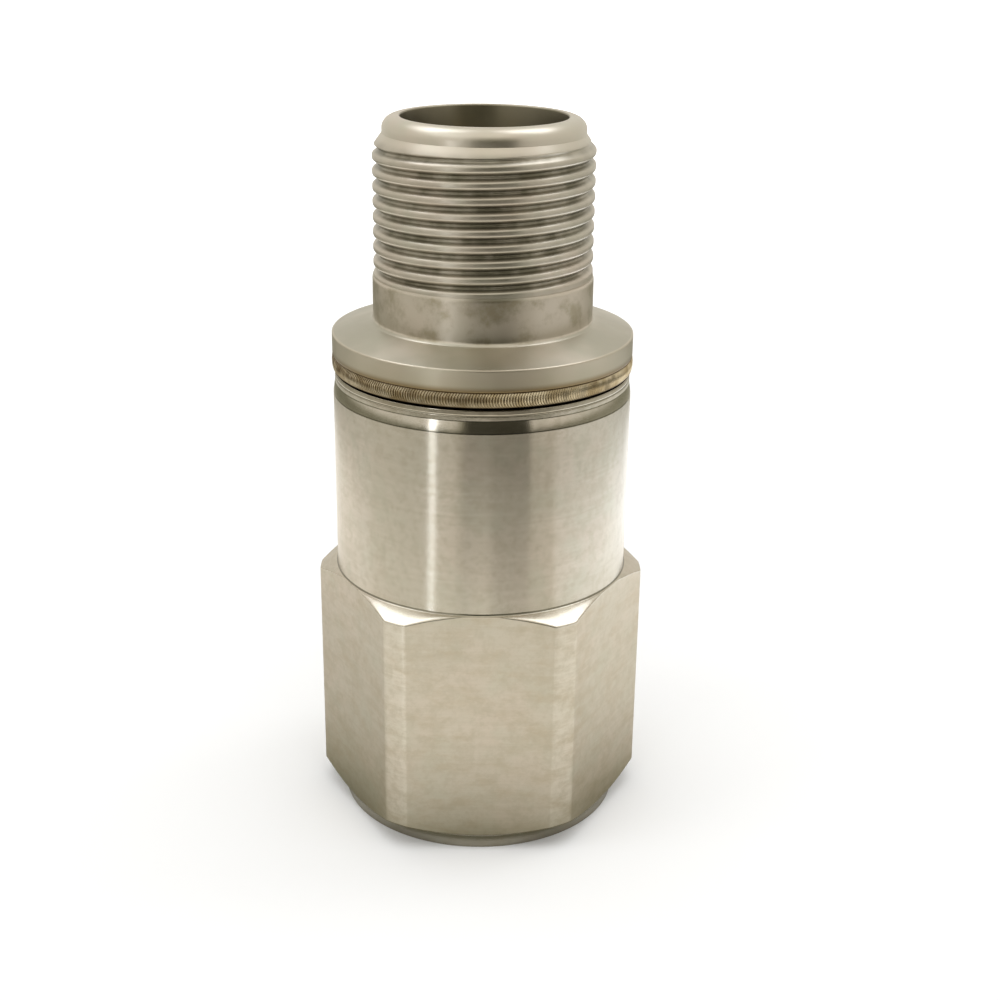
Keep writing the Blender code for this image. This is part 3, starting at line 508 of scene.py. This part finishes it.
class Graph:
    """A material's node tree, with short calls to add and join its nodes.

    In the finishes below, a call of noise is given the fineness of one layer and a call of
    between the range of it that shows, which are of use nowhere else and so have no names.
    """

    def __init__(self, name):
        self.mat = bpy.data.materials.new(name)
        self.mat.use_nodes = True
        self.tree = self.mat.node_tree
        self.shader = self.tree.nodes["Principled BSDF"]
        self.place = self.add("ShaderNodeTexCoord").outputs["Object"]

    def add(self, kind, settings=None, **inputs):
        node = self.tree.nodes.new(kind)
        for key, value in (settings or {}).items():
            setattr(node, key, value)
        for key, value in inputs.items():
            self.set(node.inputs[key.replace("_", " ")], value)
        return node

    def set(self, socket, value):
        """Link another node's output to the socket, or give it a constant."""
        if isinstance(value, bpy.types.NodeSocket):
            self.tree.links.new(value, socket)
        else:
            socket.default_value = value

    def math(self, operation, a, b=0.0, c=0.0):
        node = self.add("ShaderNodeMath", {"operation": operation})
        for socket, value in zip(node.inputs, (a, b, c)):
            self.set(socket, value)
        return node.outputs[0]

    def noise(self, scale, detail=3.0, rough=0.5, vector=None):
        """Even noise, with the scale in grains per metre."""
        node = self.add("ShaderNodeTexNoise", Scale=scale, Detail=detail, Roughness=rough)
        self.set(node.inputs["Vector"], vector or self.place)
        return node.outputs["Fac"]

    def stretched(self, sizes, detail=3.0, rough=0.5):
        """Noise with a grain of the given sizes along X, Y and Z, in metres."""
        node = self.add("ShaderNodeMapping")
        self.set(node.inputs["Vector"], self.place)
        node.inputs["Scale"].default_value = [1 / size for size in sizes]
        return self.noise(1.0, detail, rough, node.outputs[0])

    def between(self, value, low, high, from_low=0.0, from_high=1.0):
        """Smooth step that runs from low to high while the value crosses the from range."""
        node = self.add("ShaderNodeMapRange", {"interpolation_type": "SMOOTHSTEP"})
        numbers = {"From Min": from_low, "From Max": from_high, "To Min": low, "To Max": high}
        for key, number in numbers.items():
            node.inputs[key].default_value = number
        self.set(node.inputs["Value"], value)
        return node.outputs[0]

    def ramp(self, value, stops):
        """Straight lines through (value, result) stops, held level beyond both ends."""
        low = stops[0][0]
        span = stops[-1][0] - low
        top = max(result for _, result in stops)
        node = self.add("ShaderNodeValToRGB")
        self.set(node.inputs["Fac"], self.math("DIVIDE", self.math("SUBTRACT", value, low), span))
        points = node.color_ramp.elements
        while len(points) < len(stops):
            points.new(0.5)
        for point, (place, result) in zip(points, stops):
            point.position = (place - low) / span
            point.color = (result / top, result / top, result / top, 1.0)
        return self.math("MULTIPLY", node.outputs["Color"], top)

    def blend(self, factor, a, b):
        """Number a where the factor is zero and number b where it is one."""
        return self.math("MULTIPLY_ADD", factor, self.math("SUBTRACT", b, a), a)

    def mix(self, factor, a, b):
        """Colour a where the factor is zero and colour b where it is one."""
        node = self.add("ShaderNodeMix", {"data_type": "RGBA"})
        self.set(node.inputs["Factor"], factor)
        for key, value in (("A", a), ("B", b)):
            socket = [s for s in node.inputs if s.name == key and s.type == "RGBA"][0]
            self.set(socket, value if isinstance(value, bpy.types.NodeSocket) else (*value, 1.0))
        return [s for s in node.outputs if s.type == "RGBA"][0]

    def bump(self, height, distance, normal=None):
        """Fine relief of a depth in metres, on top of another relief if one is given."""
        node = self.add("ShaderNodeBump", Height=height, Distance=distance, Strength=1.0)
        if normal:
            self.set(node.inputs["Normal"], normal)
        return node.outputs[0]


def steel_colour(graph):
    """Slow drifts of tint, as on plain stainless steel."""
    first = graph.between(graph.noise(140.0, 4.0), 0.0, 1.0, 0.35, 0.65)
    second = graph.between(graph.noise(420.0, 3.0), 0.0, 0.6, 0.45, 0.75)
    return graph.mix(second, graph.mix(first, STEEL, STEEL_PINK), STEEL_GREEN)


def place_of(graph):
    """X, Y and Z of the shaded point."""
    return graph.add("ShaderNodeSeparateXYZ", Vector=graph.place).outputs


def radius_of(graph):
    """Distance of the shaded point from the Z axis."""
    x, y, _ = place_of(graph)
    square = graph.math("ADD", graph.math("MULTIPLY", x, x), graph.math("MULTIPLY", y, y))
    return graph.math("SQRT", square)


def height_of(graph):
    return place_of(graph)["Z"]


def distance(graph, value, target):
    """How far a number is from another."""
    return graph.math("ABSOLUTE", graph.math("SUBTRACT", value, target))


def line_at(graph, height, level, width):
    """One on a thin line round the piece at a level, and zero away from it."""
    return graph.between(distance(graph, height, level), 1.0, 0.0, width * LINE_CORE, width)


def brush(graph, amount):
    """Metal with its highlights drawn out across fine turning lines."""
    tangent = graph.add("ShaderNodeTangent", {"direction_type": "RADIAL", "axis": "Z"})
    graph.set(graph.shader.inputs["Tangent"], tangent.outputs[0])
    graph.set(graph.shader.inputs["Anisotropic"], amount)
    graph.shader.inputs["Anisotropic Rotation"].default_value = BRUSHING_TURN
    graph.shader.inputs["Metallic"].default_value = 1.0


def case_steel():
    """Turned steel of the case and milled steel of the hexagon, with painted shade lines at the lip and
    in the case fillet, painted shade at the foot and in the stud hole, and a painted highlight on the
    hexagon's corners.
    """
    graph = Graph("case_steel_finish")
    height = height_of(graph)
    low = graph.between(height, 1.0, 0.0, CASE_BOTTOM - CASE_FILLET, CASE_BOTTOM)
    lip = graph.between(height, 0.0, 1.0, CASE_TOP - EDGE, CASE_TOP)
    normal = graph.add("ShaderNodeNewGeometry").outputs["Normal"]
    tilt = graph.math("ABSOLUTE", graph.add("ShaderNodeSeparateXYZ", Vector=normal).outputs["Z"])
    flat = graph.math("MULTIPLY", graph.between(tilt, 1.0, 0.0, 0.05, 0.3), low)

    colour = steel_colour(graph)
    # Painted highlight on the hexagon's turned corners and the chamfer at them
    corner = graph.between(radius_of(graph), 0.0, CORNER_HIGHLIGHT_AMOUNT,
                           HEX_CORNER_RADIUS - EDGE, HEX_CORNER_RADIUS - EDGE / 4)
    colour = graph.mix(graph.math("MULTIPLY", low, corner), colour, CORNER_HIGHLIGHT)
    cloud = graph.between(graph.stretched((0.0026, 0.0026, 0.0011), 6.0, 0.7), 0.0, 0.9, 0.42, 0.72)
    colour = graph.mix(graph.math("MULTIPLY", cloud, flat), colour, HEX_BROWN)
    bands = graph.between(graph.stretched((0.02, 0.02, 0.00030), 4.0, 0.7), 0.0, 0.45, 0.35, 0.65)
    colour = graph.mix(graph.math("MULTIPLY", bands, graph.noise(300.0, 2.0)), colour, CASE_SHADE)
    speckle = graph.between(graph.noise(1400.0, 6.0, 0.7), 0.0, 0.45, 0.42, 0.66)
    colour = graph.mix(speckle, colour, CASE_SHADE)
    marks = graph.between(graph.stretched((0.0011, 0.0011, 0.00006), 1.0), 0.0, 1.0, 0.74, 0.80)
    patches = graph.between(graph.noise(180.0, 1.0), 0.0, 0.7, 0.50, 0.65)
    colour = graph.mix(graph.math("MULTIPLY", marks, patches), colour, HEX_BROWN)
    heat = graph.between(height, 0.0, LIP_HEAT, LIP_BOTTOM, LIP_TOP)
    colour = graph.mix(graph.math("MULTIPLY", heat, graph.noise(500.0)), colour, HEAT_TINT)
    # Painted shade: dark lines in the lip groove, under the lip, at the shoulder and in the case fillet
    for level, width, amount in CREASE_SHADE_LINES:
        line = graph.math("MULTIPLY", line_at(graph, height, level, width), amount)
        colour = graph.mix(line, colour, CREASE_SHADE_AND_DIRT)
    # Painted shade on the foot under the hexagon's overhang, fading out above it
    foot = graph.between(height, FOOT_SHADE, 0.0, FOOT_HEIGHT, FOOT_HEIGHT + FOOT_STEP)
    # Painted shade inside the stud hole and its countersink
    hole = graph.between(radius_of(graph), HOLE_SHADE, 0.0,
                         STUD_MINOR + STUD_THREAD_DEPTH, STUD_MINOR + STUD_SINK)
    colour = graph.mix(graph.math("MAXIMUM", foot, hole), colour, CREASE_SHADE_AND_DIRT)
    graph.set(graph.shader.inputs["Base Color"], colour)

    rough = graph.between(graph.noise(260.0, 3.0), *CASE_ROUGHNESS)
    rough = graph.math("ADD", rough, graph.math("MULTIPLY", flat, FLAT_ROUGHER))
    rough = graph.math("SUBTRACT", rough, graph.math("MULTIPLY", lip, LIP_SMOOTHER))
    graph.set(graph.shader.inputs["Roughness"], rough)
    turned = graph.math("SUBTRACT", 1.0, graph.math("MAXIMUM", low, lip))
    brush(graph, graph.math("MULTIPLY", turned, CASE_BRUSHING))
    milled = graph.math("MULTIPLY", graph.stretched((0.0040, 0.0040, 0.00012), 3.0, 0.6), flat)
    uneven = graph.bump(graph.noise(600.0, 4.0, 0.6), CASE_GRAIN)
    graph.set(graph.shader.inputs["Normal"], graph.bump(milled, MILLED_GRAIN, uneven))
    return graph.mat


def connector_steel():
    """Turned steel of the connector, heat tinted by the weld, with grime and painted shade in the
    thread, a painted reflection on the flange's side and painted shade in the bore.
    """
    graph = Graph("connector_steel_finish")
    radius = radius_of(graph)
    height = height_of(graph)
    colour = steel_colour(graph)
    # Painted reflection of the dark brown surround on the flange's side, strongest at its bottom
    side = graph.math("MULTIPLY", graph.between(radius, 0.0, 0.7, FLANGE_RADIUS - GAP, FLANGE_RADIUS),
                      graph.between(height, 1.0, 0.6, FLANGE_BOTTOM, FLANGE_TOP))
    colour = graph.mix(side, colour, FLANGE_REFLECTED_BROWN)
    heat = graph.between(height, FLANGE_HEAT, 0.0, FLANGE_BOTTOM, FLANGE_BOTTOM + HEAT_HEIGHT)
    colour = graph.mix(heat, colour, HEAT_TINT)
    slope = graph.math("MULTIPLY", graph.between(radius, 0.0, 1.0, SHANK_RADIUS, SHANK_RADIUS + EDGE),
                       graph.between(radius, 1.0, 0.0, FLANGE_RADIUS - 2 * EDGE, FLANGE_RADIUS - EDGE))
    # Grime and painted shade over the thread, darkest in its roots
    root = graph.between(radius, 0.9, 0.25, THREAD_RADIUS - THREAD_DEPTH,
                         THREAD_RADIUS - 0.15 * THREAD_DEPTH)
    in_thread = graph.math("MULTIPLY",
                           graph.between(height, 0.0, 1.0, SHANK_TOP - EDGE, SHANK_TOP + EDGE),
                           graph.between(height, 1.0, 0.0, THREAD_TOP - EDGE, RIM_BOTTOM - 2 * EDGE))
    on_shank = graph.math("MULTIPLY",
                          graph.between(height, 1.0, 0.0, SHANK_TOP - SHANK_BEVEL, SHANK_TOP),
                          graph.between(height, 0.0, 1.0, SHANK_BOTTOM, SHANK_BOTTOM + EDGE))
    stain = graph.between(graph.noise(420.0, 6.0, 0.65), 0.1, 0.85, 0.42, 0.66)
    colour = graph.mix(graph.math("MULTIPLY", stain, on_shank), colour, SHANK_STAIN)
    grime = graph.between(graph.noise(600.0, 3.0), 0.6, 1.0, 0.35, 0.65)
    root_dirt_and_shade = graph.math("MULTIPLY", graph.math("MULTIPLY", root, in_thread), grime)
    colour = graph.mix(root_dirt_and_shade, colour, CREASE_SHADE_AND_DIRT)
    olive = graph.between(graph.noise(160.0), 0.3, 0.75, 0.35, 0.65)
    colour = graph.mix(graph.math("MULTIPLY", slope, olive), colour, FLANGE_OLIVE)
    # Painted shade on the shell's inner faces, down the bore
    bore = graph.between(radius, BORE_SHADE_AMOUNT, 0.0,
                         MOUTH_RADIUS + 0.2 * MOUTH_ROUND, MOUTH_RADIUS + MOUTH_ROUND)
    colour = graph.mix(bore, colour, BORE_SHADE)
    graph.set(graph.shader.inputs["Base Color"], colour)
    rough = graph.between(graph.noise(500.0, 5.0, 0.6), *CONNECTOR_ROUGHNESS)
    graph.set(graph.shader.inputs["Roughness"], rough)
    brush(graph, CONNECTOR_BRUSHING)
    graph.set(graph.shader.inputs["Normal"], graph.bump(graph.noise(1500.0, 4.0), CONNECTOR_GRAIN))
    return graph.mat


def weld_metal():
    """Straw-gold weld metal, with painted shade in the valleys between its ripples, darker at its
    borders and in brown blotches.
    """
    graph = Graph("weld_metal_finish")
    x, y, z = place_of(graph)
    middle = (BEAD_LOW[2] + FLANGE_BOTTOM) / 2
    half = (FLANGE_BOTTOM - BEAD_LOW[2]) / 2
    across = graph.math("DIVIDE", graph.math("SUBTRACT", z, middle), half)
    turn = graph.math("DIVIDE", graph.math("ARCTAN2", y, x), 2 * math.pi)
    bend = graph.math("MULTIPLY", graph.math("MULTIPLY", across, across), -RIPPLE_BEND)
    phase = graph.math("MULTIPLY_ADD", turn, BEAD_RIPPLES, bend)
    wobble = graph.math("MULTIPLY_ADD", graph.noise(1800.0, 2.0), 0.5, phase)
    wave = graph.math("ABSOLUTE", graph.math("SINE", graph.math("MULTIPLY", wobble, math.pi)))
    gold = graph.between(graph.noise(700.0, 4.0), 0.0, 1.0, 0.3, 0.7)
    colour = graph.mix(gold, WELD_GOLD, WELD_PALE)
    # Painted shade in the ripple valleys, full on the upper half of the bead
    valley = graph.math("MULTIPLY", graph.between(wave, 1.0, 0.0, 0.15, 0.8),
                        graph.between(across, 0.55, 1.0, -0.5, 0.1))
    edge = graph.between(graph.math("ABSOLUTE", across), 0.0, 1.0, 0.72, 0.98)
    blotch = graph.between(graph.noise(1100.0, 4.0), 0.0, 0.5, 0.45, 0.7)
    brown = graph.math("MAXIMUM", graph.math("MAXIMUM", valley, edge), blotch)
    graph.set(graph.shader.inputs["Base Color"], graph.mix(brown, colour, WELD_BROWN_AND_SHADE))
    graph.set(graph.shader.inputs["Roughness"], graph.between(graph.noise(1500.0), *WELD_ROUGHNESS))
    graph.shader.inputs["Metallic"].default_value = 1.0
    graph.set(graph.shader.inputs["Normal"], graph.bump(graph.noise(6000.0, 3.0), WELD_GRAIN))
    return graph.mat


def plain_finish(name, colour, other, roughness, metallic=0.0, grain=600.0, depth=0.000004):
    """A finish for the pieces inside: two near colours, uneven gloss and a fine grain."""
    graph = Graph(name)
    blend = graph.between(graph.noise(grain / 4, 4.0), 0.0, 1.0, 0.35, 0.65)
    graph.set(graph.shader.inputs["Base Color"], graph.mix(blend, colour, other))
    graph.set(graph.shader.inputs["Roughness"],
              graph.between(graph.noise(grain, 4.0), roughness * 0.85, roughness * 1.2))
    graph.shader.inputs["Metallic"].default_value = metallic
    graph.set(graph.shader.inputs["Normal"], graph.bump(graph.noise(grain * 6, 3.0), depth))
    return graph.mat


def glass_finish():
    """Dark green sealing glass with fine bubbles."""
    graph = Graph("seal_glass_finish")
    bubbles = graph.add("ShaderNodeTexVoronoi", Scale=2600.0)
    graph.set(bubbles.inputs["Vector"], graph.place)
    spot = graph.between(bubbles.outputs["Distance"], 1.0, 0.0, 0.05, 0.22)
    cloud = graph.between(graph.noise(500.0, 4.0), 0.0, 1.0, 0.3, 0.7)
    colour = graph.mix(cloud, GLASS_DARK, GLASS_GREEN)
    graph.set(graph.shader.inputs["Base Color"], graph.mix(spot, colour, GLASS_BUBBLE))
    graph.set(graph.shader.inputs["Roughness"], graph.between(graph.noise(900.0), *GLASS_ROUGHNESS))
    graph.shader.inputs["Coat Weight"].default_value = 0.5
    graph.set(graph.shader.inputs["Normal"], graph.bump(spot, BUBBLE_DEPTH))
    return graph.mat


def dress_inner_nodes():
    """Finishes for the nodes that are kept from the CAD."""
    steel = plain_finish("inner_steel_finish", STEEL, STEEL_GREEN, 0.3, 1.0)
    silver = plain_finish("silvered_brass_finish", (0.78, 0.75, 0.68), (0.70, 0.66, 0.56), 0.28, 1.0)
    gold = plain_finish("contact_gold_finish", (0.86, 0.63, 0.26), (0.80, 0.56, 0.22), 0.2, 1.0)
    tungsten = plain_finish("tungsten_finish", (0.27, 0.27, 0.28), (0.33, 0.32, 0.32), 0.34, 1.0)
    piezo = plain_finish("piezo_finish", (0.46, 0.41, 0.32), (0.52, 0.47, 0.38), 0.6, depth=0.000006)
    alumina = plain_finish("alumina_finish", (0.80, 0.78, 0.72), (0.84, 0.82, 0.78), 0.45)
    plastic = plain_finish("plastic_finish", (0.76, 0.74, 0.68), (0.72, 0.70, 0.65), 0.42)
    rubber = plain_finish("rubber_finish", (0.025, 0.025, 0.026), (0.04, 0.04, 0.04), 0.65)
    board = plain_finish("board_finish", (0.02, 0.14, 0.055), (0.03, 0.18, 0.07), 0.35)
    chip = plain_finish("chip_finish", (0.018, 0.018, 0.02), (0.03, 0.03, 0.032), 0.5, grain=1500.0)
    ceramic = plain_finish("capacitor_finish", (0.42, 0.30, 0.18), (0.50, 0.37, 0.23), 0.42)
    red = plain_finish("red_lead_finish", (0.50, 0.025, 0.02), (0.44, 0.02, 0.02), 0.4)
    white = plain_finish("white_lead_finish", (0.76, 0.76, 0.73), (0.70, 0.70, 0.68), 0.4)
    blue = plain_finish("blue_lead_finish", (0.025, 0.07, 0.40), (0.02, 0.06, 0.34), 0.4)
    finishes = {
        "glass_seal": glass_finish(), "contact_pin_a": gold, "contact_pin_b": gold,
        "base_insulator": alumina, "element_post": steel, "lower_crystal": piezo,
        "upper_crystal": piezo, "signal_electrode": silver, "centring_tube": plastic,
        "seismic_mass": tungsten, "spring_washer": steel, "preload_nut": steel, "shield_can": silver,
        "lead_grommet": rubber, "isolation_sleeve": plastic, "board_carrier": plastic,
        "circuit_board": board, "amplifier_chip": chip, "coupling_capacitor": ceramic,
        "feedback_capacitor": ceramic, "bias_resistor": chip, "signal_lead": white,
        "output_lead_a": red, "output_lead_b": blue,
    }
    for node, finish in finishes.items():
        give_finish(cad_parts[node], finish)


def give_finish(obj, finish):
    obj.data.materials.clear()
    obj.data.materials.append(finish)


def make_pieces():
    """The three fine pieces, each in place of the CAD node that it follows."""
    housing = spun("fine_housing", housing_outline, HEX_STEPS, HOUSING_SHARP_ANGLE)
    shell = spun("threaded_shell", shell_outline, TURN_STEPS)
    make_key(shell)
    bead = spun("rippled_bead", bead_outline, BEAD_RIPPLES * STEPS_PER_RIPPLE)
    for piece, node, slot, finish in ((housing, "housing", "case_steel", case_steel()),
                                      (shell, "connector_shell", "connector_steel", connector_steel()),
                                      (bead, "weld_bead", "weld_metal", weld_metal())):
        give_finish(piece, finish)
        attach(piece, "root")
        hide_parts(node)


def make_floor():
    """A pale floor that glows a little away from the sensor, so that it fades into the white."""
    mesh = bpy.data.meshes.new("floor")
    work = bmesh.new()
    bmesh.ops.create_grid(work, x_segments=1, y_segments=1, size=FLOOR_SIZE)
    work.to_mesh(mesh)
    work.free()
    floor = bpy.data.objects.new("floor", mesh)
    bpy.context.scene.collection.objects.link(floor)

    graph = Graph("floor_finish")
    other = tuple(part * FLOOR_DRIFT for part in FLOOR_WHITE)
    graph.set(graph.shader.inputs["Base Color"], graph.mix(graph.noise(30.0), FLOOR_WHITE, other))
    graph.shader.inputs["Roughness"].default_value = FLOOR_ROUGHNESS
    graph.shader.inputs["Specular IOR Level"].default_value = FLOOR_SPECULAR
    path = graph.add("ShaderNodeLightPath")
    seen = graph.math("MAXIMUM", path.outputs["Is Camera Ray"], path.outputs["Is Glossy Ray"])
    seen = graph.math("MAXIMUM", seen, path.outputs["Is Transmission Ray"])
    graph.shader.inputs["Emission Color"].default_value = (1.0, 1.0, 1.0, 1.0)
    glow = graph.between(radius_of(graph), *FLOOR_GLOW, *GLOW_REACH)
    graph.set(graph.shader.inputs["Emission Strength"], graph.math("MULTIPLY", seen, glow))
    floor.data.materials.append(graph.mat)


def make_surround():
    """The studio as the metal sees it: the white sheet with a painted shadow of the sensor close round
    it, the dim room round it and its lights.
    """
    def outline(turn):
        return [(FOOT_RADIUS + FOOT_STEP, FOOT_STEP), (STUDIO_RADIUS, FOOT_STEP)] + arc(
            0.0, EYE_LEVEL, STUDIO_RADIUS, STUDIO_RADIUS, 0, 90, DOME_RINGS)

    dome = spun("surround", outline, DOME_STEPS)
    graph = Graph("surround_finish")
    x, y, z = place_of(graph)
    radius = radius_of(graph)
    azimuth = graph.math("DEGREES", graph.math("ARCTAN2", x, graph.math("MULTIPLY", y, -1.0)))
    rise = graph.math("SUBTRACT", z, EYE_LEVEL)
    elevation = graph.math("DEGREES", graph.math("ARCTAN2", rise, radius))

    far = graph.between(radius, 0.0, 1.0, *FAR_REACH)
    sheet = graph.blend(far, graph.ramp(azimuth, NEAR_SHEET), graph.ramp(azimuth, FAR_SHEET))
    # Painted shadow of the sensor on the sheet close round it
    sheet = graph.math("MULTIPLY", sheet, graph.ramp(radius, SHEET_SHADOW_AND_FADE))
    aside = distance(graph, azimuth, DARK_MIDDLE)
    dark = graph.math("MULTIPLY", graph.between(aside, DIM_AMOUNT, 0.0, *DIM_SPAN),
                      graph.between(radius, 0.0, 1.0, *DIM_REACH))
    sheet = graph.math("MULTIPLY", sheet, graph.math("SUBTRACT", 1.0, dark))
    beside = graph.between(aside, 0.0, 1.0, *SIDE_SPAN)
    wall = graph.blend(beside, graph.ramp(elevation, FRONT_WALL), graph.ramp(elevation, SIDE_WALL))
    outside = graph.math("MAXIMUM", graph.between(z, 0.0, 1.0, *WALL_HEIGHTS),
                         graph.between(radius, 0.0, 1.0, *WALL_REACH))
    level = graph.blend(outside, sheet, wall)
    for place, height, half_width, half_height, amount in BRIGHT_PATCHES:
        across = distance(graph, azimuth, place)
        along = distance(graph, elevation, height)
        light = graph.math("MULTIPLY",
                           graph.between(across, amount, 0.0, half_width * PATCH_CORE, half_width),
                           graph.between(along, 1.0, 0.0, half_height * PATCH_CORE, half_height))
        level = graph.math("ADD", level, light)
    graph.shader.inputs["Base Color"].default_value = (0.0, 0.0, 0.0, 1.0)
    graph.shader.inputs["Specular IOR Level"].default_value = 0.0
    tint = graph.mix(graph.between(level, 0.0, 1.0, *SHEET_LEVELS), DARK_TINT, SHEET_TINT)
    tint = graph.mix(graph.between(level, 0.0, 1.0, *WHITE_LEVELS), tint, WHITE_TINT)
    graph.set(graph.shader.inputs["Emission Color"], tint)
    graph.set(graph.shader.inputs["Emission Strength"], level)
    dome.data.materials.append(graph.mat)
    dome.visible_camera = False
    dome.visible_diffuse = False
    dome.visible_shadow = False
    dome.visible_transmission = False


def make_world():
    """White behind everything, at full strength for all but diffuse light."""
    world = bpy.data.worlds.new("studio")
    bpy.context.scene.world = world
    world.use_nodes = True
    tree = world.node_tree
    back = tree.nodes["Background"]
    path = tree.nodes.new("ShaderNodeLightPath")
    first = tree.nodes.new("ShaderNodeMath")
    first.operation = "MAXIMUM"
    second = tree.nodes.new("ShaderNodeMath")
    second.operation = "MAXIMUM"
    level = tree.nodes.new("ShaderNodeMapRange")
    level.inputs["To Min"].default_value = WORLD_LEVEL
    level.inputs["To Max"].default_value = 1.0
    tree.links.new(path.outputs["Is Camera Ray"], first.inputs[0])
    tree.links.new(path.outputs["Is Glossy Ray"], first.inputs[1])
    tree.links.new(first.outputs[0], second.inputs[0])
    tree.links.new(path.outputs["Is Transmission Ray"], second.inputs[1])
    tree.links.new(second.outputs[0], level.inputs["Value"])
    tree.links.new(level.outputs[0], back.inputs["Strength"])
    back.inputs["Color"].default_value = (1.0, 1.0, 1.0, 1.0)


def make_lamp(name, azimuth, elevation, distance, width, height, radiance):
    """A softbox that faces the connector, at an azimuth measured from the front towards +X."""
    turn = math.radians(azimuth)
    rise = math.radians(elevation)
    aim = Vector((0.0, 0.0, LIP_TOP))
    place = aim + distance * Vector((math.sin(turn) * math.cos(rise), -math.cos(turn) * math.cos(rise),
                                     math.sin(rise)))
    data = bpy.data.lights.new(name, "AREA")
    data.shape = "RECTANGLE"
    data.size = width
    data.size_y = height
    data.energy = radiance * math.pi * width * height
    lamp = bpy.data.objects.new(name, data)
    lamp.location = place
    lamp.rotation_euler = (aim - place).to_track_quat("-Z", "Y").to_euler()
    lamp.visible_camera = False
    lamp.visible_glossy = False
    bpy.context.scene.collection.objects.link(lamp)


def make_lights():
    for lamp in LAMPS:
        make_lamp(*lamp)


def make_camera():
    right = Vector((math.cos(CAMERA_YAW), -math.sin(CAMERA_YAW), 0.0))
    level = math.cos(CAMERA_PITCH)
    ahead = Vector((math.sin(CAMERA_YAW) * level, math.cos(CAMERA_YAW) * level, -math.sin(CAMERA_PITCH)))
    up = right.cross(ahead)
    camera_x = right * math.cos(CAMERA_ROLL) + up * math.sin(CAMERA_ROLL)
    camera_y = up * math.cos(CAMERA_ROLL) - right * math.sin(CAMERA_ROLL)
    data = bpy.data.cameras.new("camera")
    data.lens = CAMERA_LENS
    data.sensor_width = CAMERA_SENSOR
    data.clip_start = CAMERA_CLIP
    camera = bpy.data.objects.new("camera", data)
    turn = Matrix((camera_x, camera_y, -ahead)).transposed().to_4x4()
    camera.matrix_world = Matrix.Translation(CAMERA_PLACE) @ turn
    bpy.context.scene.collection.objects.link(camera)
    bpy.context.scene.camera = camera


make_camera()
make_world()
make_lights()
make_floor()
make_surround()
make_pieces()
dress_inner_nodes()
bpy.context.scene.view_settings.view_transform = "Standard"
